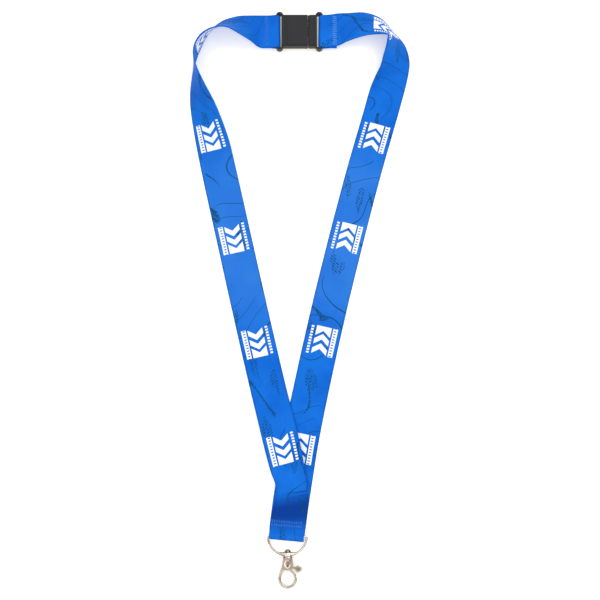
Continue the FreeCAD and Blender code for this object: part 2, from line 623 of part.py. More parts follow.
cut("gate_lever", gate_whole, fuse("gate_hollows", [gate_bore, spring_room]))

coil_outer = cylinder("coil_outer", "coil_outer_radius", "coil_thick", "pin_x", "pin_y",
                      "ring_z + coil_lift")
coil_inner = cylinder("coil_inner", "coil_inner_radius", "coil_thick + overrun * 2", "pin_x", "pin_y",
                      "ring_z - overrun")
cut("gate_spring", coil_outer, coil_inner)

# ---------------------------------------------------------------- check and write
NODES = [
    "ribbon_left_corner", "ribbon_left_arm", "ribbon_left_tail", "ribbon_left_fold",
    "ribbon_front_layer", "ribbon_ring_fold", "ribbon_back_layer", "ribbon_right_arm",
    "ribbon_right_corner", "ribbon_right_tail", "ribbon_right_fold",
    "seam_left", "seam_right", "seam_ring_upper", "seam_ring_lower",
    "female_housing", "male_base", "latch_arm_upper", "latch_arm_lower",
    "d_ring", "swivel_rivet", "hook_body", "gate_lever", "gate_pin", "gate_spring"]

doc.recompute()
for item in doc.Objects:
    if "Invalid" in item.State or "Error" in item.State:
        raise SystemExit("%s failed: %s" % (item.Name, item.State))
os.makedirs("parts", exist_ok=True)
whole = FreeCAD.BoundBox()
for name in NODES:
    node = doc.getObject(name)
    node.Label = name
    shape = node.Shape
    if shape.isNull() or not shape.isValid() or not shape.Solids or shape.Volume <= 0:
        raise SystemExit(name + " has no valid solid")
    whole.add(shape.BoundBox)
    shape.exportStep("parts/%s.step" % name)
    print("%-22s %2d solid(s) %9.2f mm3" % (name, len(shape.Solids), shape.Volume))
print("box", [round(value, 2) for value in (whole.XMin, whole.XMax, whole.YMin, whole.YMax,
                                             whole.ZMin, whole.ZMax)])
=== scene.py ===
import math
import random

import bmesh
import bpy
from mathutils import Matrix, Vector
from mathutils.bvhtree import BVHTree


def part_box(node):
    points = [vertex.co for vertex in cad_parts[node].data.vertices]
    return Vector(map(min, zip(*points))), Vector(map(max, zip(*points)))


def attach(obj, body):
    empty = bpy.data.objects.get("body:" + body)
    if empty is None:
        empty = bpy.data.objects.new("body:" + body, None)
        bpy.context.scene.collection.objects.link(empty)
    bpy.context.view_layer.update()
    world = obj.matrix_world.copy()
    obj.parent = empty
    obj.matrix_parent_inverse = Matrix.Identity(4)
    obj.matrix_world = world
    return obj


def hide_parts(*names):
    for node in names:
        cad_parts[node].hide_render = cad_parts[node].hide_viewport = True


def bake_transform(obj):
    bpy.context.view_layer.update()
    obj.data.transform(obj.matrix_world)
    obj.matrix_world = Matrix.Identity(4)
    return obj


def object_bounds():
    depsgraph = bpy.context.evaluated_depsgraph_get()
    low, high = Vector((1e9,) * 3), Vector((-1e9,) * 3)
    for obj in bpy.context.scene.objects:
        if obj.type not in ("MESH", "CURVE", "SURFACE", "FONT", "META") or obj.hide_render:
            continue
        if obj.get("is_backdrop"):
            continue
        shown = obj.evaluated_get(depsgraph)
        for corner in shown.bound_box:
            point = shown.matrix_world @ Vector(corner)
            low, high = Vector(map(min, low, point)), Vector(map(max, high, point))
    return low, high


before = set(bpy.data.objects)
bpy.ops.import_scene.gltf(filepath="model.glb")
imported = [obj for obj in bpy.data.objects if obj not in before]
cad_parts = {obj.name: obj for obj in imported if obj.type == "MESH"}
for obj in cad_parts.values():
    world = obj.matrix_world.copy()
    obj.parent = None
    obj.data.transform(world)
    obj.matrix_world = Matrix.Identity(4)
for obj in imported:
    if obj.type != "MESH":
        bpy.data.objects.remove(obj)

MM = 0.001
cad_low, cad_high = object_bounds()
random.seed(25)


# ------------------------------------------------------------------ frame values, in millimetres
def box_mm(node):
    low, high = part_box(node)
    return Vector(low) / MM, Vector(high) / MM


WIDTH = 25.0
THICK = 0.9
HALF = THICK / 2
female_low, female_high = box_mm("female_housing")
male_high = box_mm("male_base")[1]
ring_low, ring_high = box_mm("d_ring")
BUCKLE_MIDDLE = (female_low.z + female_high.z) / 2
BAR_RADIUS = 0.95
BAR_INSET = 1.05                    # from the end of each buckle half to the axis of its strap bar
BAR_SLACK = 0.05
LEFT_BAR = female_low.x + BAR_INSET
RIGHT_BAR = male_high.x - BAR_INSET
BAR_WRAP = BAR_RADIUS + BAR_SLACK + HALF
RING_STOCK = 0.9                    # radius of the CAD ring's wire
RING_SLACK = 0.3
RING_BAR_Y = ring_high.y - RING_STOCK
RING_BAR_Z = (ring_low.z + ring_high.z) / 2
RING_WRAP = RING_STOCK + RING_SLACK + HALF

# ------------------------------------------------------------------ ribbon routes
# A station is the outer edge of the ribbon (x, y, height of its underside) and the ribbon's roll
# about that edge: 0 lies flat, 90 stands on the edge. A fifth value is the heading of the ribbon's
# width, where it isn't square to the route.
LEFT_ROUTE = [
    (-16.5, 204, 4.7, 0), (-17.6, 204, 4.7, 0), (-20, 204, 4.2, 0), (-22, 204, 3.6, 0),
    (-28.2, 204, 3.5, 0), (-37, 204.6, 2.0, 22, -88), (-45, 205, 0.3, 35, -84),
    (-51.1, 203.7, 0, 45, -78), (-56.2, 202, 0, 53, -71), (-62.9, 197.2, 0, 64, -56),
    (-68.4, 190, 0, 77, -42), (-72.7, 181, 0, 88), (-76.3, 171, 0, 90), (-78.8, 160, 0, 80),
    (-80.2, 148, 0, 64), (-80.2, 138, 0, 51), (-79, 127, 0, 39), (-75, 104, 0, 16),
    (-70, 80, 0, 5), (-60, 36, 0, 0), (-50, -8, 0, 0), (-40, -51, 0, 0), (-34, -76, 0.3, 0),
    (-29.6, -93.5, 1.3, 0), (-24.5, -114, 2.0, 0)]
RIGHT_ROUTE = [
    (15.7, 204, 4.7, 0, -90), (16.8, 204, 4.7, 0, -90), (19, 204.2, 4.2, 0, -90),
    (21.5, 204.6, 3.6, 0, -90), (28, 205.6, 3.5, 0, -90), (35.2, 206.4, 2.3, 14, -91),
    (48.1, 207.6, 0.3, 27, -90), (59.4, 203.6, 0, 40, -96), (65.5, 197.4, 0, 53, -105),
    (69.8, 191.8, 0, 61, -123), (73.9, 187.1, 0, 56, -142), (77.1, 182.5, 0, 46, -151),
    (79.7, 175.1, 0, 35, -162), (80.5, 167.5, 0, 26, -168), (79.4, 159, 0, 16, -176),
    (76.9, 148.1, 0, 6, 174), (74.3, 138.5, 0, 1), (70.6, 125.3, 0, 0), (64, 102.6, 0, 0),
    (57.6, 80, 0, 0), (46, 36, 0, 0), (35, -8, 0, 0), (25.1, -51, 0, 0), (16, -93.5, 0, 0),
    (12.1, -114, 0, 0)]
PARTING = 21                        # the right arm's station where the piece that parts begins
# Lower strap: left and right edge of the ribbon, each x, y and height of the underside.
FRONT_ROUTE = [
    ((-20.0, -130.0, 2.8), (2.8, -124.0, 2.6)), ((-17.3, -137.0, 3.2), (4.2, -135.0, 3.3)),
    ((-16.9, -141.5, 3.2), (4.4, -139.4, 4.4)), ((-17.0, -144.4, 3.0), (4.5, -141.3, 4.6)),
    ((-17.2, -145.6, 2.8), (4.6, -141.8, 3.0)), ((-17.4, -147.0, 2.6), (4.9, -142.7, 3.7)),
    ((-17.6, -148.6, 2.3), (5.2, -143.8, 3.7)), ((-17.8, -149.4, 2.1), (5.4, -144.3, 2.5)),
    ((-18.7, -153.5, 1.4), (6.1, -149.0, 2.1)), ((-19.8, -158.5, 1.1), (5.2, -157.0, 1.2)),
    ((-20.9, -165.5, 1.0), (3.9, -167.4, 1.0)), ((-21.0, -168.9, 2.0), (3.3, -171.4, 2.0)),
    ((-21.2, -171.4, 3.2), (2.9, -172.6, 3.0))]
BACK_ROUTE = [
    ((-21.2, -171.5, 0.0), (2.9, -172.6, 0.0)), ((-20.7, -164.6, 0.0), (4.1, -166.0, 0.0)),
    ((-18.9, -149.6, 0.0), (6.0, -152.2, 0.0)), ((-16.0, -131.4, 0.0), (8.7, -135.0, 0.0))]
TOP_EDGES = (204.0, 204.0 - WIDTH)  # the ribbon's outer and inner edge at the buckle
FOLD_EDGES = (-21.3, 2.6)           # the ribbon's edges where it folds round the ring's bar
FOLD_SLACK = (0.25, -1.9)           # the fold is snug at its left edge and loose at its right


def rolled(route, side):
    """Edge pairs of outer-edge stations; side is 1 where the loop lies to the left of the route."""
    pairs = []
    for index, (x, y, height, roll, *heading) in enumerate(route):
        if heading:
            turn = math.radians(heading[0])
            inward = Vector((math.cos(turn), math.sin(turn), 0))
        else:
            before = route[max(index - 1, 0)]
            after = route[min(index + 1, len(route) - 1)]
            ahead = Vector((after[0] - before[0], after[1] - before[1], 0)).normalized()
            inward = Vector((-ahead.y, ahead.x, 0)) * side
        angle = math.radians(roll)
        base = Vector((x, y, height + HALF * math.cos(angle)))
        span = inward * math.cos(angle) + Vector((0, 0, math.sin(angle)))
        pairs.append((base, base + span * WIDTH))
    return pairs


def laid(route):
    lift = Vector((0, 0, HALF))
    return [(Vector(left) + lift, Vector(right) + lift) for left, right in route]


def swapped(pairs):
    return [(second, first) for first, second in pairs]


def wrap(centre_across, centre_z, radius, axis, ends, start, finish, steps, slack=(0, 0)):
    """Edge pairs round a bar. axis is the bar's direction, ends the ribbon's two edges along it, and
    slack how far the loop hangs out past the bar at each edge."""
    pairs = []
    for index in range(steps + 1):
        angle = math.radians(start + (finish - start) * index / steps)
        reach = math.cos(angle)
        z = centre_z + radius * math.sin(angle)
        pair = []
        for end, loose in zip(ends, slack):
            across = centre_across + radius * reach + loose * abs(reach)
            pair.append(Vector((across, end, z) if axis == "y" else (end, across, z)))
        pairs.append(tuple(pair))
    return pairs


# Each station of a tail is its reach beyond the strap bar and its height.
TAIL_STATIONS = [(11.5, 3.0), (8.6, 3.05), (5.5, 3.1), (2.9, 2.5), (1.1, 2.25)]


def tail(bar_x, away):
    """The cut end of the ribbon under the first stretch, from its end to the bar."""
    return [tuple(Vector((bar_x + away * reach, y, z)) for y in TOP_EDGES)
            for reach, z in TAIL_STATIONS]


def smooth(pairs, spacing):
    """Catmull-Rom through edge pairs, in steps of about the spacing."""
    result = []
    for index in range(len(pairs) - 1):
        quad = [pairs[max(index - 1, 0)], pairs[index], pairs[index + 1],
                pairs[min(index + 2, len(pairs) - 1)]]
        length = max((quad[2][edge] - quad[1][edge]).length for edge in (0, 1))
        steps = max(1, round(length / spacing))
        for step in range(steps):
            share = step / steps
            result.append(tuple(curve_point([pair[edge] for pair in quad], share) for edge in (0, 1)))
    result.append(pairs[-1])
    return result


def curve_point(points, share):
    """A point on a centripetal Catmull-Rom span, which never loops or overshoots."""
    knots = [0.0]
    for first, second in zip(points, points[1:]):
        knots.append(knots[-1] + max((second - first).length, 1e-4) ** 0.5)
    time = knots[1] + (knots[2] - knots[1]) * share
    level = list(points)
    for depth in (1, 2, 3):
        following = []
        for index in range(len(level) - 1):
            if depth == 1:
                low, high = knots[index], knots[index + 1]
            elif depth == 2:
                low, high = knots[index], knots[index + 2]
            else:
                low, high = knots[1], knots[2]
            weight = (time - low) / (high - low)
            following.append(level[index] * (1 - weight) + level[index + 1] * weight)
        level = following
    return level[0]


def curve_through(corners, steps=8):
    """Points on a smooth line through corners given as x, y, z."""
    return [pair[0] for pair in smooth([(Vector(corner), Vector(corner)) for corner in corners],
                                       (Vector(corners[-1]) - Vector(corners[0])).length / steps)]


ACROSS = 14
SPACING = 0.9
SELVEDGE_START = 0.45               # share of the thickness at the very edge
SELVEDGE_SLOPE = 0.9                # share gained per millimetre inward
FRONT = -1                          # the face that shows on the left arm
BACK = 1                            # the face that shows on the right arm
FACE_SHIFT = 900.0                  # keeps the two faces' printed lines apart
MARK_PITCH = 77.0
MARKS = {FRONT: [152 + MARK_PITCH * turn for turn in range(4)],
         BACK: [76] + [512 + MARK_PITCH * turn for turn in range(4)] + [828]}


def mark_centre(along, face_side):
    """Distance along the ribbon of the mark nearest to a place on one of its two printed faces."""
    return min(MARKS[face_side], key=lambda centre: abs(centre - along))


def ribbon_mesh(name, pairs, start_length):
    """A woven strip of the ribbon's thickness, with rounded selvedges. Its flat coordinates in
    millimetres are UV maps: Strip is along the ribbon and across it from its middle, and Mark is
    the same from the middle of the nearest printed mark."""
    dense = smooth(pairs, SPACING)
    mesh = bmesh.new()
    strip = mesh.loops.layers.uv.new("Strip")
    mark = mesh.loops.layers.uv.new("Mark")
    rows = []
    length = start_length
    lengths = []
    for index, (outer, inner) in enumerate(dense):
        if index:
            middle = (outer + inner) / 2
            before = (dense[index - 1][0] + dense[index - 1][1]) / 2
            length += (middle - before).length
        lengths.append(length)
        low = dense[max(index - 1, 0)]
        high = dense[min(index + 1, len(dense) - 1)]
        ring = []
        for side in (BACK, FRONT):
            for step in range(ACROSS + 1):
                share = step / ACROSS if side == BACK else 1 - step / ACROSS
                point = outer.lerp(inner, share)
                ahead = high[0].lerp(high[1], share) - low[0].lerp(low[1], share)
                face = (inner - outer).cross(ahead).normalized()
                edge = min(share, 1 - share) * WIDTH
                bulge = HALF * min(1.0, SELVEDGE_START + edge * SELVEDGE_SLOPE)
                ring.append((point + face * bulge * side, share))
        rows.append([(mesh.verts.new(point * MM), share) for point, share in ring])

    def paint(face, corners, side):
        centre = mark_centre(sum(along for _, along in corners) / len(corners), side)
        for loop, (share, along) in zip(face.loops, corners):
            across = (share - 0.5) * WIDTH
            loop[strip].uv = (along + side * FACE_SHIFT, across)
            loop[mark].uv = (along - centre, -across * side)

    count = len(rows[0])
    for index in range(len(rows) - 1):
        for step in range(count):
            after = (step + 1) % count
            ends = ((index, step), (index, after), (index + 1, after), (index + 1, step))
            face = mesh.faces.new([rows[row][column][0] for row, column in ends])
            face.smooth = True
            side = BACK if step <= ACROSS else FRONT
            paint(face, [(rows[row][column][1], lengths[row]) for row, column in ends], side)
    for row, place in ((rows[0], lengths[0]), (rows[-1], lengths[-1])):
        for step in range(ACROSS):
            quad = [row[step], row[step + 1], row[count - 2 - step], row[count - 1 - step]]
            face = mesh.faces.new([corner[0] for corner in quad])
            paint(face, [(corner[1], place) for corner in quad], FRONT)
    bmesh.ops.recalc_face_normals(mesh, faces=mesh.faces)
    return finish_mesh(name, mesh), length


def finish_mesh(name, mesh):
    data = bpy.data.meshes.new(name)
    mesh.to_mesh(data)
    mesh.free()
    piece = bpy.data.objects.new(name, data)
    bpy.context.collection.objects.link(piece)
    return piece


# ------------------------------------------------------------------ materials
class Shader:
    """Builds a node material: numbers or sockets go in, sockets come out."""

    def __init__(self, name):
        self.material = bpy.data.materials.new(name)
        self.material.use_nodes = True
        self.tree = self.material.node_tree
        self.surface = self.tree.nodes["Principled BSDF"]

    def put(self, socket, value):
        if isinstance(value, bpy.types.NodeSocket):
            self.tree.links.new(value, socket)
        else:
            socket.default_value = value

    def node(self, kind, inputs=(), **settings):
        made = self.tree.nodes.new(kind)
        for key, value in settings.items():
            setattr(made, key, value)
        for key, value in dict(inputs).items():
            self.put(made.inputs[key], value)
        return made

    def math(self, operation, first, second=0.0):
        return self.node("ShaderNodeMath", {0: first, 1: second}, operation=operation).outputs[0]

    def add(self, first, second):
        return self.math("ADD", first, second)

    def take(self, first, second):
        return self.math("SUBTRACT", first, second)

    def times(self, first, second):
        return self.math("MULTIPLY", first, second)

    def size(self, value):
        return self.math("ABSOLUTE", value)

    def either(self, first, second):
        return self.math("MAXIMUM", first, second)

    def repeat(self, value, rate):
        """Where the value lies in its repeat, from 0 to 1, with rate repeats per unit."""
        return self.math("FRACT", self.times(value, rate))

    def place(self, along, across):
        return self.node("ShaderNodeCombineXYZ", {0: along, 1: across}).outputs[0]

    def split(self, vector):
        return self.node("ShaderNodeSeparateXYZ", {0: vector}).outputs

    def object_place(self):
        return self.node("ShaderNodeTexCoord").outputs["Object"]

    def stretch(self, vector, scale):
        return self.node("ShaderNodeMapping", {"Vector": vector, "Scale": scale}).outputs[0]

    def ramp(self, value, low, high, start=0.0, end=1.0):
        """Smooth change from start to end while the value goes from low to high."""
        inputs = {"Value": value, "From Min": low, "From Max": high, "To Min": start, "To Max": end}
        return self.node("ShaderNodeMapRange", inputs, interpolation_type="SMOOTHSTEP").outputs[0]

    def below(self, value, limit, soft):
        return self.ramp(value, limit - soft, limit + soft, 1.0, 0.0)

    def within(self, value, middle, half, soft):
        return self.below(self.size(self.take(value, middle)), half, soft)

    def noise(self, vector, scale, detail=2.0, dimensions="3D"):
        inputs = {"Vector": vector, "Scale": scale, "Detail": detail}
        return self.node("ShaderNodeTexNoise", inputs, noise_dimensions=dimensions).outputs["Fac"]

    def mix(self, share, first, second):
        made = self.node("ShaderNodeMix", data_type="RGBA")
        self.put(made.inputs["Factor"], share)
        self.put(made.inputs["A"], first)
        self.put(made.inputs["B"], second)
        return [out for out in made.outputs if out.type == "RGBA"][0]

    def bump(self, height, distance, strength=1.0):
        inputs = {"Height": height, "Distance": distance, "Strength": strength}
        normal = self.node("ShaderNodeBump", inputs).outputs[0]
        self.put(self.surface.inputs["Normal"], normal)

    def finish(self, **values):
        for name, value in values.items():
            self.put(self.surface.inputs[name.replace("_", " ")], value)
        return self.material


RIBBON_BLUE = (0.005, 0.158, 0.690, 1)
RIBBON_DEEP = (0.003, 0.118, 0.590, 1)
RIBBON_PAINTED_SHEEN = (0.027, 0.184, 0.665, 1)
# the colour of the painted shade above the ring
RIBBON_PAINTED_SHADE = (0.0005, 0.035, 0.270, 1)
PAINTED_SHADE_MIDDLE = 427.0                # painted shade: the middle, along the ribbon, of a darker stretch painted above the ring, where the strap slopes away from the light
PAINTED_SHADE_HALF = 9.0
PAINTED_SHADE_SOFT = 7.0
PAINTED_SHADE_SHARE = 0.94
PAINTED_SHEEN_MIDDLE = {FRONT: 228.0, BACK: 668.0}       # painted sheen: the blue is painted paler along the middle of each arm
PAINTED_SHEEN_HALF = 62.0
PAINTED_SHEEN_SOFT = 34.0
PRINT_WHITE = (0.84, 0.90, 0.95, 1)
PRINT_TEAL = (0.002, 0.058, 0.150, 1)
MARK_HALF = 10.3                    # half the mark's length along the ribbon
RIB_PITCH = 0.62
WARP_PITCH = 0.80


def contour_lines(s, strip):
    """Thin level lines of a slow field, like a map's, missing here and there."""
    levels, half, soft = 12.0, 0.018, 0.010
    field = s.noise(strip, 0.013, 0.8, "2D")
    line = s.within(s.repeat(field, levels), 0.5, half, soft)
    return s.times(line, s.ramp(s.noise(strip, 0.021, 0.0, "2D"), 0.34, 0.40))


def brush_strokes(s, strip, along, across):
    """A few broad strokes, drawn out along the ribbon."""
    levels, half, soft, squeeze = 5.0, 0.034, 0.02, 1.9
    slim = s.place(along, s.times(across, squeeze))
    sweep = s.repeat(s.noise(slim, 0.012, 1.0, "2D"), levels)
    somewhere = s.ramp(s.noise(strip, 0.03, 0.0, "2D"), 0.56, 0.60)
    return s.times(s.within(sweep, 0.5, half, soft), somewhere)


def hatched_patches(s, along, across):
    """Slanted patches of short bars in rows, like a tyre's print."""
    bar_rate, bar_share, bar_lean = 0.52, 0.55, 0.5
    row_rate, row_share, soft = 0.36, 0.80, 0.08
    streak = s.place(s.times(s.add(along, across), 0.8), s.times(across, 2.1))
    patch = s.ramp(s.noise(streak, 0.045, 0.4, "2D"), 0.670, 0.685)
    bars = s.below(s.repeat(s.add(along, s.times(across, bar_lean)), bar_rate), bar_share, soft)
    rows = s.below(s.repeat(across, row_rate), row_share, soft)
    return s.times(patch, s.times(bars, rows))


def printed_lines(s, strip, along, across):
    """Dye-printed decoration between the marks: contour lines, brush strokes and hatched patches."""
    dry = s.ramp(s.noise(strip, 0.8, 3.0, "2D"), 0.38, 0.48)
    line = contour_lines(s, strip)
    bold = s.times(brush_strokes(s, strip, along, across), dry)
    hatch = s.times(hatched_patches(s, along, across), dry)
    return s.either(s.times(line, 0.9), s.either(s.times(bold, 0.95), s.times(hatch, 0.9)))


def printed_mark(s, place, across):
    """White mark: a bar with a row of notches, two chevrons with a block, and a row of dashes. place
    is along the ribbon from the mark's middle, and all lengths are in millimetres."""
    soft, tooth_soft = 0.10, 0.05
    reach = s.within(place, 0.0, MARK_HALF, soft)

    bar = s.times(s.within(across, -8.0, 1.7, soft), reach)
    notch = s.below(s.repeat(place, 0.5), 0.42, tooth_soft)
    bar = s.times(bar, s.take(1.0, s.times(notch, s.within(across, -7.8, 0.8, soft))))

    spine, slope = 0.2, 0.75
    lean = s.add(place, s.times(s.size(s.take(across, spine)), slope))
    body = s.within(across, spine, 5.3, soft)
    chevrons = s.either(s.within(lean, -3.9, 2.0, soft), s.within(lean, 2.9, 2.0, soft))
    block = s.times(s.below(s.times(lean, -1.0), -7.2, soft), s.below(place, MARK_HALF, soft))
    shapes = s.times(body, s.either(chevrons, block))

    dash = s.below(s.repeat(place, 0.48), 0.62, tooth_soft)
    dashes = s.times(s.times(s.within(across, 8.3, 0.95, soft), reach), dash)
    return s.either(s.either(bar, shapes), dashes)


def ribbon_material():
    """Blue polyester: ribbed weave, dye-printed lines and hatching, white marks, painted sheen along the
    middle of each arm and painted shade above the ring.
    """
    s = Shader("ribbon_print")
    strip = s.node("ShaderNodeUVMap", uv_map="Strip").outputs[0]
    along, across = s.split(strip)[:2]
    mark_place, mark_across = s.split(s.node("ShaderNodeUVMap", uv_map="Mark").outputs[0])[:2]

    cloud = s.noise(strip, 0.035, 3.0, "2D")
    stretched = s.place(s.times(along, 0.18), s.times(across, 1.5))
    fibre = s.ramp(s.noise(stretched, 1.0, 2.0, "2D"), 0.30, 0.70)
    cloth = s.mix(s.ramp(cloud, 0.35, 0.7), RIBBON_BLUE, RIBBON_DEEP)
    cloth = s.mix(s.times(fibre, 0.45), cloth, RIBBON_DEEP)

    # painted sheen: the middle of each arm is painted paler
    pale = s.either(*(s.within(along, middle + side * FACE_SHIFT, PAINTED_SHEEN_HALF, PAINTED_SHEEN_SOFT)
                      for side, middle in PAINTED_SHEEN_MIDDLE.items()))
    cloth = s.mix(s.times(pale, s.ramp(cloud, 0.30, 0.60, 0.95, 0.65)), cloth, RIBBON_PAINTED_SHEEN)
    # painted shade: the lower strap is painted darker above the ring
    painted_shade = s.within(along, PAINTED_SHADE_MIDDLE + FRONT * FACE_SHIFT, PAINTED_SHADE_HALF, PAINTED_SHADE_SOFT)
    cloth = s.mix(s.times(painted_shade, PAINTED_SHADE_SHARE), cloth, RIBBON_PAINTED_SHADE)

    dark = printed_lines(s, strip, along, across)
    worn = s.ramp(s.noise(strip, 3.0, 2.0, "2D"), 0.25, 0.40, 0.86, 1.0)
    mark = s.times(printed_mark(s, mark_place, mark_across), worn)
    colour = s.mix(dark, cloth, PRINT_TEAL)
    colour = s.mix(mark, colour, PRINT_WHITE)
    selvedge = s.ramp(s.size(across), WIDTH / 2 - 0.9, WIDTH / 2 - 0.2)
    colour = s.mix(s.times(selvedge, 0.25), colour, RIBBON_DEEP)

    # weave: weft ribs across the ribbon, warp ends along it
    rib = s.math("SINE", s.times(along, 2 * math.pi / RIB_PITCH))
    warp = s.math("SINE", s.times(s.add(across, s.times(along, 0.5)), 2 * math.pi / WARP_PITCH))
    weave = s.add(s.times(rib, 0.5), s.times(s.times(rib, warp), 0.5))
    s.bump(weave, 0.00006, 0.5)
    s.surface.inputs["Specular IOR Level"].default_value = 0.07
    s.surface.inputs["Sheen Weight"].default_value = 0.02
    s.surface.inputs["Sheen Roughness"].default_value = 0.45
    return s.finish(Base_Color=colour, Roughness=s.ramp(cloud, 0.3, 0.7, 0.60, 0.72))


THREAD_TINTS = ((0.03, 0.22, 0.74, 1), (0.15, 0.41, 0.90, 1))
BOBBIN_TINTS = ((0.008, 0.150, 0.62, 1), (0.03, 0.23, 0.78, 1))


def thread_material(name, dark, light):
    """Twisted polyester thread: two tints in a fine spiral."""
    s = Shader(name)
    inputs = {"Vector": s.object_place(), "Scale": 1400.0, "Distortion": 2.0}
    twist = s.node("ShaderNodeTexWave", inputs, bands_direction="DIAGONAL").outputs["Fac"]
    tint = s.mix(twist, dark, light)
    s.bump(twist, 0.00004, 0.6)
    s.surface.inputs["Sheen Weight"].default_value = 0.2
    return s.finish(Base_Color=tint, Roughness=s.ramp(twist, 0.0, 1.0, 0.55, 0.4))


PLASTIC_BLACK = (0.009, 0.009, 0.011, 1)
PLASTIC_GREY = (0.014, 0.013, 0.017, 1)
PLASTIC_SCUFF = (0.050, 0.048, 0.053, 1)


def plastic_material():
    """Black moulded acetal: fine spark grain, a slight sheen and faint scuffs."""
    s = Shader("moulded_plastic")
    where = s.object_place()
    grain = s.noise(where, 2600.0, 3.0)
    cloud = s.noise(where, 90.0, 3.0)
    stretched = s.stretch(where, (900.0, 60.0, 300.0))
    scuff = s.ramp(s.noise(stretched, 1.0, 4.0), 0.62, 0.72)
    colour = s.mix(s.times(cloud, 0.7), PLASTIC_BLACK, PLASTIC_GREY)
    colour = s.mix(s.times(scuff, 0.25), colour, PLASTIC_SCUFF)
    s.surface.inputs["Specular IOR Level"].default_value = 0.28
    s.bump(s.add(s.times(grain, 0.7), s.times(cloud, 0.3)), 0.00005, 0.7)
    dullness = s.ramp(s.add(grain, s.times(scuff, 0.3)), 0.3, 0.9, 0.38, 0.55)
    return s.finish(Base_Color=colour, Roughness=dullness)


# colour of the painted reflection and shade on the metal's sides
PAINTED_FLANK_DARK = (0.048, 0.032, 0.023, 1)
PAINTED_FLANK_SHARE = 0.94                # painted reflection and shade: the sides of the castings and wires are painted darker than their tops
FLANK_STEEP = 0.52                  # the normal's Z at which a side is painted as dark as it gets
FLANK_FLAT = 0.955                  # and at which a top is bright
NICKEL_LIGHT = (0.74, 0.68, 0.61, 1)
NICKEL_SHADE = (0.34, 0.275, 0.22, 1)
STEEL_LIGHT = (0.30, 0.29, 0.28, 1)
STEEL_SHADE = (0.20, 0.18, 0.17, 1)


def metal_material(name, light, shade, roughness, bump):
    """Plated metal: soft waviness from tumbling, fine scratches, slightly duller patches, and sides painted
    darker as painted reflection and shade.
    """
    s = Shader(name)
    where = s.object_place()
    wave = s.noise(where, 420.0, 2.0)
    stretched = s.stretch(where, (4000.0, 500.0, 1500.0))
    scratch = s.noise(stretched, 1.0, 3.0)
    patch = s.ramp(s.noise(where, 260.0, 3.0), 0.45, 0.70)
    colour = s.mix(s.times(patch, 0.75), light, shade)
    # painted reflection and shade: the metal is painted darker where its normal tilts to the side
    facing = s.split(s.node("ShaderNodeTexCoord").outputs["Normal"])[2]
    painted_flank = s.ramp(s.size(facing), FLANK_STEEP, FLANK_FLAT, PAINTED_FLANK_SHARE, 0.0)
    colour = s.mix(painted_flank, colour, PAINTED_FLANK_DARK)
    s.bump(s.add(s.times(wave, 0.8), s.times(scratch, 0.12)), bump, 0.6)
    s.surface.inputs["Metallic"].default_value = 1.0
    return s.finish(Base_Color=colour, Roughness=s.add(s.times(scratch, 0.10), roughness))


RIBBON = ribbon_material()
THREAD = thread_material("sewing_thread", *THREAD_TINTS)
BOBBIN_THREAD = thread_material("bobbin_thread", *BOBBIN_TINTS)
PLASTIC = plastic_material()
NICKEL = metal_material("nickel_plate", NICKEL_LIGHT, NICKEL_SHADE, roughness=0.12, bump=0.00012)
STEEL = metal_material("plain_steel", STEEL_LIGHT, STEEL_SHADE, roughness=0.30, bump=0.0001)


def dress(piece, material):
    piece.data.materials.clear()
    piece.data.materials.append(material)


# ------------------------------------------------------------------ the ribbon
SLIT_SKEW = 0.35                    # how much nearer the buckle's middle the ribbon's inner edge stands
BAR_STEPS = 8
FOLD_STEPS = 10
left_wrap = wrap(LEFT_BAR, BUCKLE_MIDDLE, BAR_WRAP, "y", TOP_EDGES, -90, 90, BAR_STEPS, (0, SLIT_SKEW))
right_wrap = wrap(RIGHT_BAR, BUCKLE_MIDDLE, BAR_WRAP, "y", TOP_EDGES, 90, 270, BAR_STEPS, (0, -SLIT_SKEW))
ring_wrap = wrap(RING_BAR_Y, RING_BAR_Z, RING_WRAP, "x", FOLD_EDGES, 90, 270, FOLD_STEPS, FOLD_SLACK)
left_pairs = tail(LEFT_BAR, -1) + left_wrap + rolled(LEFT_ROUTE, 1)[1:] + laid(FRONT_ROUTE) + ring_wrap
right_rolled = rolled(RIGHT_ROUTE, -1)
right_lower = swapped(right_rolled[PARTING:])[::-1]
right_upper = (swapped(right_rolled[1:PARTING + 1])[::-1] + swapped(right_wrap)
               + swapped(tail(RIGHT_BAR, 1))[::-1])
strap_ribbon, reached = ribbon_mesh("ribbon_left", left_pairs + laid(BACK_ROUTE) + right_lower, 0.0)
right_ribbon, total = ribbon_mesh("ribbon_right", right_upper, reached)
for piece in (strap_ribbon, right_ribbon):
    dress(piece, RIBBON)

# ------------------------------------------------------------------ hand over to the frame
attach(strap_ribbon, "strap")
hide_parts("ribbon_left_corner", "ribbon_left_arm", "ribbon_left_tail", "ribbon_left_fold",
            "ribbon_front_layer", "ribbon_ring_fold", "ribbon_back_layer", "ribbon_right_arm")
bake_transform(right_ribbon)
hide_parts("ribbon_right_corner", "ribbon_right_tail", "ribbon_right_fold")

for name in ("female_housing", "male_base", "latch_arm_upper", "latch_arm_lower"):
    dress(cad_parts[name], PLASTIC)


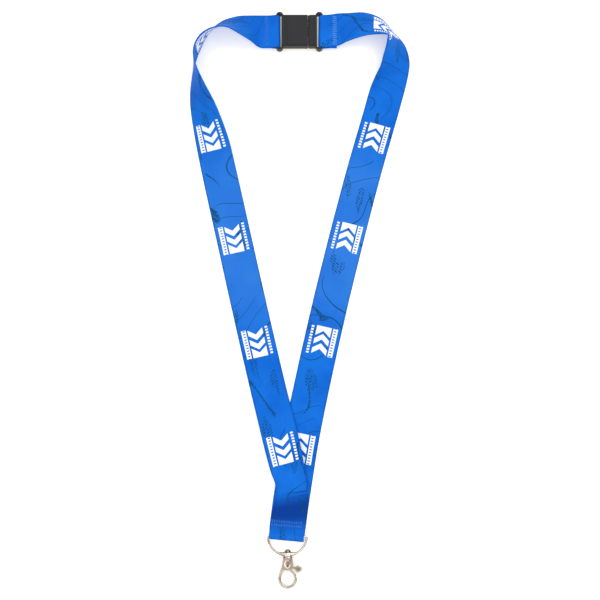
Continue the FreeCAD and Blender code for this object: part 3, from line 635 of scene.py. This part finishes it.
# ------------------------------------------------------------------ seams
def tube(mesh, points, radius, sides=6):
    """A closed round tube through points, added to a mesh; its radius may be a list, one per point."""
    radii = radius if isinstance(radius, list) else [radius] * len(points)
    rings = []
    for index, point in enumerate(points):
        ahead = points[min(index + 1, len(points) - 1)] - points[max(index - 1, 0)]
        side = ahead.cross(Vector((0, 0, 1)))
        side = side.normalized() if side.length > 1e-6 else Vector((1, 0, 0))
        up = side.cross(ahead).normalized()
        turns = [2 * math.pi * step / sides for step in range(sides)]
        spots = [point + (side * math.cos(turn) + up * math.sin(turn)) * radii[index] for turn in turns]
        rings.append([mesh.verts.new(spot * MM) for spot in spots])
    for low, high in zip(rings, rings[1:]):
        for step in range(sides):
            after = (step + 1) % sides
            mesh.faces.new((low[step], low[after], high[after], high[step])).smooth = True
    mesh.faces.new(rings[0][::-1])
    mesh.faces.new(rings[-1])


THREAD_RADIUS = 0.19
RETURN_RADIUS = 0.10                # the return run of each stitch is pulled in and looks thinner
STITCH_ARCH = ((0.0, -0.12), (0.2, 0.14), (0.5, 0.20), (0.8, 0.14), (1.0, -0.12))
RETURN_ARCH = ((0.0, -0.12), (0.2, 0.0), (0.5, 0.03), (0.8, 0.0), (1.0, -0.12))
SEWING_WANDER = 0.07
STITCH_PITCH = 1.65
STITCH_LEAN = 0.12                  # share of the pitch that a stitch leans forward
ABOVE_ALL = 40                      # a height over the whole object
LOOSE_END = ((3.3, -163.8, 2.1), (4.6, -164.2, 2.4), (5.6, -164.6, 1.7), (6.5, -165.3, 0.6))
RING_ROW_INSET = 0.7                # from each side of a ring seam's box to the row's end
RING_ROW_DROPS = (1.3, 3.1)         # from the box's top to the row's left and right end


def sewn_row(name, node, ribbon, start, end, swing, thread, loose_end=()):
    """A row of zigzag stitches sewn on the ribbon between two points, each x, y in millimetres. Its
    thread may trail past the last stitch through loose_end's points."""
    surface = BVHTree.FromObject(ribbon, bpy.context.evaluated_depsgraph_get())

    def landed(spot, height):
        hit = surface.ray_cast(Vector((spot.x, spot.y, ABOVE_ALL)) * MM, Vector((0, 0, -1)))
        return hit[0] / MM + hit[1] * height

    start, end, swing = Vector(start), Vector(end), Vector(swing)
    count = round((end - start).length / STITCH_PITCH)
    step = (end - start) / count
    holes = []
    for index in range(count):
        for across in (Vector((0, 0)), swing + step * STITCH_LEAN):
            wander = Vector((random.uniform(-1, 1), random.uniform(-1, 1))) * SEWING_WANDER
            holes.append(start + step * index + across + wander)
    mesh = bmesh.new()
    for index, (here, there) in enumerate(zip(holes, holes[1:])):
        arch, radius = ((STITCH_ARCH, THREAD_RADIUS), (RETURN_ARCH, RETURN_RADIUS))[index % 2]
        tube(mesh, [landed(here.lerp(there, share), height) for share, height in arch], radius)
    if loose_end:
        tube(mesh, curve_through(loose_end), RETURN_RADIUS)
    seam = finish_mesh(name, mesh)
    dress(seam, thread)
    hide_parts(node)
    return seam


bpy.context.view_layer.update()
left_x = box_mm("seam_left")[1].x
right_x = box_mm("seam_right")[0].x
seam = sewn_row("stitch_left", "seam_left", strap_ribbon, (left_x, 203.0), (left_x, 180.0),
                (-3.0, 0), BOBBIN_THREAD)
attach(seam, "strap")
seam = sewn_row("stitch_right", "seam_right", right_ribbon, (right_x, 203.2), (right_x, 180.2),
                (3.2, 0), THREAD)
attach(seam, "male_half")
for name, node, loose_end in (("stitch_ring_upper", "seam_ring_upper", LOOSE_END),
                              ("stitch_ring_lower", "seam_ring_lower", ())):
    low, high = box_mm(node)
    start = (low.x + RING_ROW_INSET, high.y - RING_ROW_DROPS[0])
    end = (high.x - RING_ROW_INSET, high.y - RING_ROW_DROPS[1])
    seam = sewn_row(name, node, strap_ribbon, start, end, (0, -1.7), BOBBIN_THREAD, loose_end)
    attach(seam, "strap")

# ------------------------------------------------------------------ swivel, hook and gate
PAD_RADIUS = 2.35
PAD_DROP = 1.8                      # from the pin down to the pad's middle
EYE_REACH = 6.25                    # from the claw's lowest edge to the eye's middle
hook_low, HOOK_TOP = box_mm("hook_body")
PIN = sum(box_mm("gate_pin"), Vector()) / 2
EYE = Vector((PIN.x, hook_low.y + EYE_REACH, RING_BAR_Z))
PAD = Vector((box_mm("gate_lever")[1].x - PAD_RADIUS, PIN.y - PAD_DROP, 0))


def slab(mesh, outline, low, high, holes=()):
    """A plate with an outline in X and Y and round holes, each x, y, radius."""
    curve = bpy.data.curves.new("outline", "CURVE")
    curve.dimensions = "2D"
    curve.fill_mode = "BOTH"
    curve.extrude = (high - low) / 2
    rings = [outline]
    for x, y, radius in holes:
        rings.append([spot[:2] for spot in arc(Vector((x, y, 0)), radius, 0, 360, 32)[:-1]])
    for ring in rings:
        spline = curve.splines.new("POLY")
        spline.points.add(len(ring) - 1)
        for point, spot in zip(spline.points, ring):
            point.co = (spot[0], spot[1], 0, 1)
        spline.use_cyclic_u = True
    holder = bpy.data.objects.new("outline", curve)
    bpy.context.collection.objects.link(holder)
    data = bpy.data.meshes.new_from_object(holder.evaluated_get(bpy.context.evaluated_depsgraph_get()))
    data.transform(Matrix.Scale(MM, 4) @ Matrix.Translation((0, 0, (low + high) / 2)))
    part = bmesh.new()
    part.from_mesh(data)
    bmesh.ops.remove_doubles(part, verts=part.verts, dist=1e-3 * MM)
    bmesh.ops.recalc_face_normals(part, faces=part.faces)
    part.to_mesh(data)
    part.free()
    mesh.from_mesh(data)
    bpy.data.objects.remove(holder)


def flat_bar(mesh, points, half_wide, half_high, power=0.6, sides=20):
    """A bar with a rounded oblong section along points that keep to one height."""
    rings = []
    for index, point in enumerate(points):
        ahead = points[min(index + 1, len(points) - 1)] - points[max(index - 1, 0)]
        side = Vector((-ahead.y, ahead.x, 0)).normalized()
        ring = []
        for step in range(sides):
            turn = 2 * math.pi * step / sides
            wide = math.copysign(abs(math.cos(turn)) ** power, math.cos(turn)) * half_wide
            high = math.copysign(abs(math.sin(turn)) ** power, math.sin(turn)) * half_high
            ring.append(mesh.verts.new((point + side * wide + Vector((0, 0, high))) * MM))
        rings.append(ring)
    for low, high in zip(rings, rings[1:]):
        for step in range(sides):
            after = (step + 1) % sides
            mesh.faces.new((low[step], low[after], high[after], high[step]))
    mesh.faces.new(rings[0][::-1])
    mesh.faces.new(rings[-1])


def turned(mesh, profile, centre, axis, flatten=1.0, sides=40):
    """A lathe shape: profile is (distance along the axis, radius), from one end to the other."""
    rings = []
    for along, radius in profile:
        ring = []
        for step in range(sides):
            turn = 2 * math.pi * step / sides
            spot = Vector((math.cos(turn) * radius, 0, math.sin(turn) * radius * flatten))
            if axis == "z":
                spot = Vector((spot.x, spot.z, 0))
            spot += centre + Vector((0, along, 0) if axis == "y" else (0, 0, along))
            ring.append(mesh.verts.new(spot * MM))
        rings.append(ring)
    for low, high in zip(rings, rings[1:]):
        for step in range(sides):
            after = (step + 1) % sides
            mesh.faces.new((low[step], low[after], high[after], high[step]))
    mesh.faces.new(rings[0][::-1])
    mesh.faces.new(rings[-1])


def rounded_end(height, radius, steps=6):
    """Profile points of a domed end: from the full radius to nearly nothing."""
    turns = [math.pi / 2 * step / steps for step in range(steps + 1)]
    return [(height * math.sin(turn), max(radius * math.cos(turn), 0.02)) for turn in turns]


def on_circle(centre, radius, degrees):
    turn = math.radians(degrees)
    return centre + Vector((math.cos(turn), math.sin(turn), 0)) * radius


def arc(centre, radius, start, finish, steps):
    """Points on a circle in the XY plane, in degrees."""
    return [on_circle(centre, radius, start + (finish - start) * step / steps) for step in range(steps + 1)]


CAST_VOXEL = 0.11
CAST_ROUNDS = 7                     # rounds of smoothing
CAST_CREASE = math.radians(50)
DRILL_REACH = 6.0


def lens(mesh, centre, radii):
    """A closed lens that crowns a flat face."""
    place = Matrix.Translation(centre * MM) @ Matrix.Diagonal((*(Vector(radii) * MM), 1))
    bmesh.ops.create_uvsphere(mesh, u_segments=32, v_segments=16, radius=1, matrix=place)


def cast(name, mesh, body, node, bore):
    """Melt overlapping closed shapes into one casting with soft edges, and drill it. The bore is
    its centre, its axis and its radius."""
    bmesh.ops.recalc_face_normals(mesh, faces=mesh.faces)
    rough = finish_mesh(name + "_rough", mesh)
    melt = rough.modifiers.new("melt", "REMESH")
    melt.mode = "VOXEL"
    melt.voxel_size = CAST_VOXEL * MM
    soften = rough.modifiers.new("soften", "SMOOTH")
    soften.iterations = CAST_ROUNDS
    centre, axis, radius = bore
    drill_mesh = bmesh.new()
    turned(drill_mesh, [(-DRILL_REACH, radius), (DRILL_REACH, radius)], centre, axis)
    bmesh.ops.recalc_face_normals(drill_mesh, faces=drill_mesh.faces)
    drill = finish_mesh(name + "_drill", drill_mesh)
    hole = rough.modifiers.new("hole", "BOOLEAN")
    hole.object = drill
    data = bpy.data.meshes.new_from_object(rough.evaluated_get(bpy.context.evaluated_depsgraph_get()))
    data.name = name
    data.shade_smooth()
    data.set_sharp_from_angle(angle=CAST_CREASE)
    bpy.data.objects.remove(rough)
    bpy.data.objects.remove(drill)
    piece = bpy.data.objects.new(name, data)
    bpy.context.collection.objects.link(piece)
    finish_piece(piece, NICKEL, body, node)


def finish_piece(piece, material, body, node):
    dress(piece, material)
    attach(piece, body)
    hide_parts(node)


RING_WIRE = 0.72
RING_RADIUS = 13.55
RING_DEPTH = 12.8
RING_CORNER = 1.5
RING_OFFSET = 0.2                   # the ring hangs this much to the right of its CAD box's middle
FLARE = 0.85                        # how much thicker the wire is where the swivel goes through
FLARE_SPREAD = 32.0                 # degrees each side of the swivel
BOW_STEPS = 90
BOSS = [(0.0, 2.75), (0.25, 2.95), (0.9, 2.85), (2.2, 2.25), (2.6, 2.05), (2.8, 1.9)]
BOSS_FLATTEN = 0.72
BOSS_BORE = 1.15


def ring_casting():
    """A D of round wire that swells into a pierced boss where the swivel goes through it."""
    middle = (ring_low.x + ring_high.x) / 2 + RING_OFFSET
    centre = Vector((middle, RING_BAR_Y - RING_DEPTH + RING_RADIUS, RING_BAR_Z))
    corner_y = RING_BAR_Y - RING_CORNER
    drop = centre.y - corner_y
    reach = math.sqrt((RING_RADIUS - RING_CORNER) ** 2 - drop ** 2)
    lean = math.degrees(math.atan2(drop, reach))
    bar_middle = Vector((middle, RING_BAR_Y, RING_BAR_Z))
    right, left = (Vector((middle + side * reach, corner_y, RING_BAR_Z)) for side in (1, -1))
    points = [bar_middle] + arc(right, RING_CORNER, 90, -lean, 6)
    radii = [RING_WIRE] * len(points)
    for step in range(1, BOW_STEPS):
        turn = -lean - (180 - 2 * lean) * step / BOW_STEPS
        near = max(0.0, 1 - abs(turn + 90) / FLARE_SPREAD)
        swell = FLARE * near * near * (3 - 2 * near)
        points.append(on_circle(centre, RING_RADIUS - swell, turn))
        radii.append(RING_WIRE + swell)
    points += arc(left, RING_CORNER, 180 + lean, 90, 6) + [bar_middle]
    radii += [RING_WIRE] * (len(points) - len(radii))
    mesh = bmesh.new()
    tube(mesh, points, radii, 20)
    foot = Vector((PIN.x, ring_low.y, RING_BAR_Z))
    turned(mesh, BOSS, foot, "y", BOSS_FLATTEN)
    cast("ring_casting", mesh, "ring", "d_ring", (foot, "y", BOSS_BORE))


# Outlines of the hook, each x from the pin and y from the hook's top.
CHEEK = [(-3.0, -0.6), (-3.5, -4.2), (-4.3, -7.6), (-4.0, -8.6), (-2.4, -9.0), (0.4, -8.8), (2.6, -7.8),
         (3.9, -5.6), (3.7, -3.6), (3.1, -0.6)]
SHOULDER = [(-3.0, -0.4), (-3.4, -4.0), (3.4, -4.0), (3.0, -0.4)]
WALL = [(-3.3, -3.5), (-4.2, -7.8), (-3.6, -8.8), (-2.3, -8.6), (-2.2, -3.5)]
LIMB = [(-3.3, -7.2), (-4.3, -9.6), (-5.0, -12.0)]
# The collar is turned about the swivel's axis: height from the hook's top, and radius.
COLLAR = [(-1.3, 2.85), (-1.0, 3.15), (-0.45, 3.25), (-0.1, 3.1), (0.0, 2.8)]
COLLAR_FLATTEN = 0.64
CHEEK_THICK = 1.05
CROWN_PLACE = (-0.2, -4.7)
CROWN_SIZE = (3.5, 4.4)
CROWN_DEPTH = 1.0                   # from each face to the middle of the lens that crowns it
SHOULDER_INSET = 0.3                # how far the shoulder and the wall stand back from the faces
WALL_INSET = 0.5
HOOK_BORE = 0.85
EYE_RADIUS = 5.5                    # to the middle of the claw
CLAW_HALF_WIDE = 0.86
CLAW_HALF_HIGH = 1.45
CLAW_LAP_HALF_WIDE = 0.40
LAP_OUTSIDE = 5.85                  # the claw's thin end laps outside the gate's
LAP_INSIDE = 5.12


def from_top(outline):
    return [(PIN.x + x, HOOK_TOP.y + y) for x, y in outline]


def hook_casting():
    """Two crowned cheeks, a solid shoulder under a collar, and the claw that goes round the eye."""
    thick = HOOK_TOP.z
    mesh = bmesh.new()
    for low, high in ((0.0, CHEEK_THICK), (thick - CHEEK_THICK, thick)):
        slab(mesh, from_top(CHEEK), low, high, [(PIN.x, PIN.y, HOOK_BORE)])
    for height, swell in ((thick - CROWN_DEPTH, 1.3), (CROWN_DEPTH, 1.0)):
        lens(mesh, Vector((*from_top([CROWN_PLACE])[0], height)), (*CROWN_SIZE, swell))
    slab(mesh, from_top(SHOULDER), SHOULDER_INSET, thick - SHOULDER_INSET)
    slab(mesh, from_top(WALL), WALL_INSET, thick - WALL_INSET)
    turned(mesh, COLLAR, Vector((PIN.x, HOOK_TOP.y, RING_BAR_Z)), "y", COLLAR_FLATTEN)
    root = [(*spot, RING_BAR_Z) for spot in from_top(LIMB)] + [tuple(on_circle(EYE, EYE_RADIUS, 174))]
    claw = arc(EYE, EYE_RADIUS, 177, 360, 40)
    flat_bar(mesh, curve_through(root) + claw, CLAW_HALF_WIDE, CLAW_HALF_HIGH)
    flat_bar(mesh, arc(EYE, LAP_OUTSIDE, 354, 372, 8), CLAW_LAP_HALF_WIDE, CLAW_HALF_HIGH)
    cast("hook_casting", mesh, "hook", "hook_body", (PIN, "z", HOOK_BORE))


GATE_HALF_HIGH = 0.9
GATE_BORE = 0.78
BOW_OUT = 0.1                       # the gate's bar bows this far outside the claw's circle
BOW_HALF_WIDE = 0.72
GATE_LAP_HALF_WIDE = 0.38
ARM_HALF_WIDE = 0.85
ARM_HALF_HIGH = 0.6
GATE_HUB = [(0, 1.75), (0.12, 1.9), (0.75, 1.9), (0.87, 1.75)]
THUMB_PAD = [(0.0, 2.0), (0.15, 2.25), (0.45, PAD_RADIUS), (0.95, PAD_RADIUS), (1.2, 2.2), (1.36, 1.8),
             (1.25, 0.8), (1.22, 0.02)]


def gate_casting():
    """Hub on the pin, the curved bar that shuts the eye, and the thumb pad on its arm."""
    mesh = bmesh.new()
    turned(mesh, GATE_HUB, Vector((PIN.x, PIN.y, RING_BAR_Z - GATE_HALF_HIGH)), "z")
    bow = [(PIN.x - 0.3, PIN.y - 1.2, RING_BAR_Z), (PIN.x + 1.9, PIN.y - 2.4, RING_BAR_Z)]
    bow += [tuple(spot) for spot in arc(EYE, EYE_RADIUS + BOW_OUT, 54, 18, 4)]
    flat_bar(mesh, curve_through(bow, 16), BOW_HALF_WIDE, GATE_HALF_HIGH)
    flat_bar(mesh, arc(EYE, LAP_INSIDE, 24, 5, 8), GATE_LAP_HALF_WIDE, GATE_HALF_HIGH)
    arm = [(PIN.x + 1.0, PIN.y - 0.9, RING_BAR_Z - 0.3), (PIN.x + 3.4, PIN.y - 0.9, RING_BAR_Z),
           (PAD.x - 1.0, PAD.y + 0.3, RING_BAR_Z + 0.1)]
    flat_bar(mesh, curve_through(arm), ARM_HALF_WIDE, ARM_HALF_HIGH)
    turned(mesh, THUMB_PAD, Vector((PAD.x, PAD.y, RING_BAR_Z - 0.1)), "z")
    cast("gate_casting", mesh, "gate", "gate_lever", (PIN, "z", GATE_BORE))


RIVET_SHAFT = 1.1
RIVET_HEAD = 2.02                   # radius of the head's brim
RIVET_SEAT = 1.7                    # from the top of the CAD rivet down to the head's seat
RIVET_BRIM = 0.35                   # from the seat to the dome
RIVET_CHAMFER = (0.1, 0.17)
RIVET_DOME = (1.45, 2.0)            # height and radius


def swivel_rivet():
    """A domed rivet head inside the ring, on the shaft that the hook turns on."""
    low, high = box_mm("swivel_rivet")
    seat = high.y - low.y - RIVET_SEAT
    brim = seat + RIVET_BRIM
    rise, inset = RIVET_CHAMFER
    profile = [(0.0, RIVET_SHAFT), (seat, RIVET_SHAFT), (seat, RIVET_HEAD - inset),
               (seat + rise, RIVET_HEAD), (brim, RIVET_HEAD)]
    profile += [(brim + along, radius) for along, radius in rounded_end(*RIVET_DOME)]
    mesh = bmesh.new()
    turned(mesh, profile, Vector((PIN.x, low.y, RING_BAR_Z)), "y")
    for face in mesh.faces:
        face.smooth = True
    finish_piece(finish_mesh("rivet_dome", mesh), NICKEL, "hook", "swivel_rivet")


def pin_rivet():
    """The gate's pin: a shaft with chamfered ends, sunk a little into the cheeks."""
    radius, tip, chamfer, sunk = 0.72, 0.45, 0.1, 0.35
    low, high = sunk, HOOK_TOP.z - sunk
    profile = [(low, tip), (low + chamfer, radius), (high - chamfer, radius), (high, tip)]
    mesh = bmesh.new()
    turned(mesh, profile, Vector((PIN.x, PIN.y, 0)), "z")
    finish_piece(finish_mesh("pin_rivet", mesh), STEEL, "hook", "gate_pin")


def torsion_coil():
    """The gate's spring: a close coil round the pin, with a leg on the gate and one on the hook."""
    low, high = box_mm("gate_spring")
    wire, coil, turns, steps = 0.15, 1.25, 2.4, 20
    bottom, top = low.z + wire, high.z - wire
    points = [Vector((PIN.x + 3.0, PIN.y - 1.1, bottom))]
    for step in range(int(turns * steps) + 1):
        height = bottom + (top - bottom) * step / (turns * steps)
        points.append(on_circle(Vector((PIN.x, PIN.y, height)), coil, 360 * step / steps))
    points.append(Vector((PIN.x - 1.9, PIN.y + 1.9, top)))
    mesh = bmesh.new()
    tube(mesh, points, wire, 8)
    finish_piece(finish_mesh("torsion_coil", mesh), STEEL, "hook", "gate_spring")


ring_casting()
hook_casting()
gate_casting()
swivel_rivet()
pin_rivet()
torsion_coil()

# ------------------------------------------------------------------ stage, lights and camera
CAMERA_DISTANCE = 0.850
CAMERA_TILT = math.radians(9.5)
LOOK_AT = Vector((0.0, -0.008, 0.0))
LENS = 71.7
FLOOR_GAP = 0.00005
FLOOR_TONES = ((0.89, 0.88, 0.84, 1), (0.92, 0.91, 0.87, 1))
LIGHT_TABLE = 0.36                  # the floor glows a little, so shadows stay pale
LIGHT_TABLE_TINT = (1.0, 0.98, 0.90, 1)
# The sky's stops, by height: first and last, then those between.
SKY = [(0.05, (0.07, 0.05, 0.04, 1)), (0.985, (0.66, 0.57, 0.49, 1)), (0.30, (0.40, 0.33, 0.28, 1)),
       (0.48, (1.05, 1.03, 1.00, 1)), (0.90, (1.05, 1.04, 1.03, 1))]
WORLD_STRENGTH = 0.95
BACKDROP = (0.92, 0.92, 0.93, 1)    # what shows past the floor's edge


def stage():
    floor_mesh = bmesh.new()
    bmesh.ops.create_grid(floor_mesh, x_segments=1, y_segments=1, size=3.0)
    floor = finish_mesh("floor", floor_mesh)
    floor.location.z = cad_low[2] - FLOOR_GAP
    s = Shader("pale_floor")
    tone = s.mix(s.noise(s.object_place(), 6.0, 3.0), *FLOOR_TONES)
    s.surface.inputs["Emission Color"].default_value = LIGHT_TABLE_TINT
    s.surface.inputs["Emission Strength"].default_value = LIGHT_TABLE
    dress(floor, s.finish(Base_Color=tone, Roughness=0.9))
    floor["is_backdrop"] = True


def lamp(name, place, size, power):
    data = bpy.data.lights.new(name, "AREA")
    data.shape = "RECTANGLE"
    data.size, data.size_y = size
    data.energy = power
    light = bpy.data.objects.new(name, data)
    light.location = place
    light.rotation_euler = (LOOK_AT - Vector(place)).to_track_quat("-Z", "Y").to_euler()
    bpy.context.collection.objects.link(light)


def studio_world():
    """White overhead and dim, warm sides, so that plated metal shows dark outlines."""
    world = bpy.data.worlds.new("studio")
    world.use_nodes = True
    tree = world.node_tree
    where = tree.nodes.new("ShaderNodeTexCoord")
    parts = tree.nodes.new("ShaderNodeSeparateXYZ")
    ramp = tree.nodes.new("ShaderNodeValToRGB")
    tree.links.new(where.outputs["Generated"], parts.inputs[0])
    tree.links.new(parts.outputs["Z"], ramp.inputs[0])
    backdrop = tree.nodes.new("ShaderNodeMixRGB")
    backdrop.inputs["Color2"].default_value = BACKDROP
    path = tree.nodes.new("ShaderNodeLightPath")
    tree.links.new(path.outputs["Is Camera Ray"], backdrop.inputs["Fac"])
    tree.links.new(ramp.outputs[0], backdrop.inputs["Color1"])
    tree.links.new(backdrop.outputs[0], tree.nodes["Background"].inputs["Color"])
    stops = ramp.color_ramp.elements
    for stop, (position, colour) in zip(stops, SKY[:2]):
        stop.position, stop.color = position, colour
    for position, colour in SKY[2:]:
        stops.new(position).color = colour
    tree.nodes["Background"].inputs["Strength"].default_value = WORLD_STRENGTH
    return world


stage()
lamp("key", (0.50, 0.85, 1.25), (1.2, 1.1), 7.0)
lamp("fill", (-0.9, -0.1, 1.2), (1.3, 1.3), 3.0)
lamp("front", (0.3, -1.0, 1.2), (1.3, 1.0), 4.5)
bpy.context.scene.world = studio_world()
bpy.context.scene.view_settings.view_transform = "Standard"

camera_data = bpy.data.cameras.new("camera")
camera_data.lens = LENS
camera = bpy.data.objects.new("camera", camera_data)
camera.location = LOOK_AT + Vector((0, -math.sin(CAMERA_TILT), math.cos(CAMERA_TILT))) * CAMERA_DISTANCE
camera.rotation_euler = (CAMERA_TILT, 0, 0)
bpy.context.collection.objects.link(camera)
bpy.context.scene.camera = camera

low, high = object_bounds()
